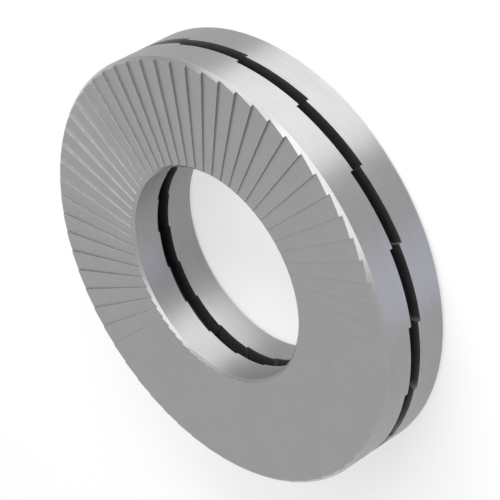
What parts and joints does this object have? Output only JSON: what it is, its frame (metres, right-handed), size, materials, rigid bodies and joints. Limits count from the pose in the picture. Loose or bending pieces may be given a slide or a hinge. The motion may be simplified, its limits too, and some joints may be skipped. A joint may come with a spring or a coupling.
{
  "type": "wedge lock washer pair",
  "caption": "Pair of round lock washers glued cam face to cam face, with fine radial teeth on both outer faces and a clearance bore.",
  "frame": {"origin": "on the bolt's axis, in the plane that the lower washer's teeth stand on", "axes": "+Z along the bolt's axis, towards the bolt head; +X along one step of the cams"},
  "size_m": [0.0108, 0.0108, 0.002],
  "materials": {
    "coated_steel": "satin grey zinc flake coat over hardened steel",
    "adhesive": "dull, nearly black"
  },
  "bodies": {
    "root": {"upper_washer": "coated_steel", "lower_washer": "coated_steel", "adhesive_film": "adhesive"}
  },
  "joints": []
}
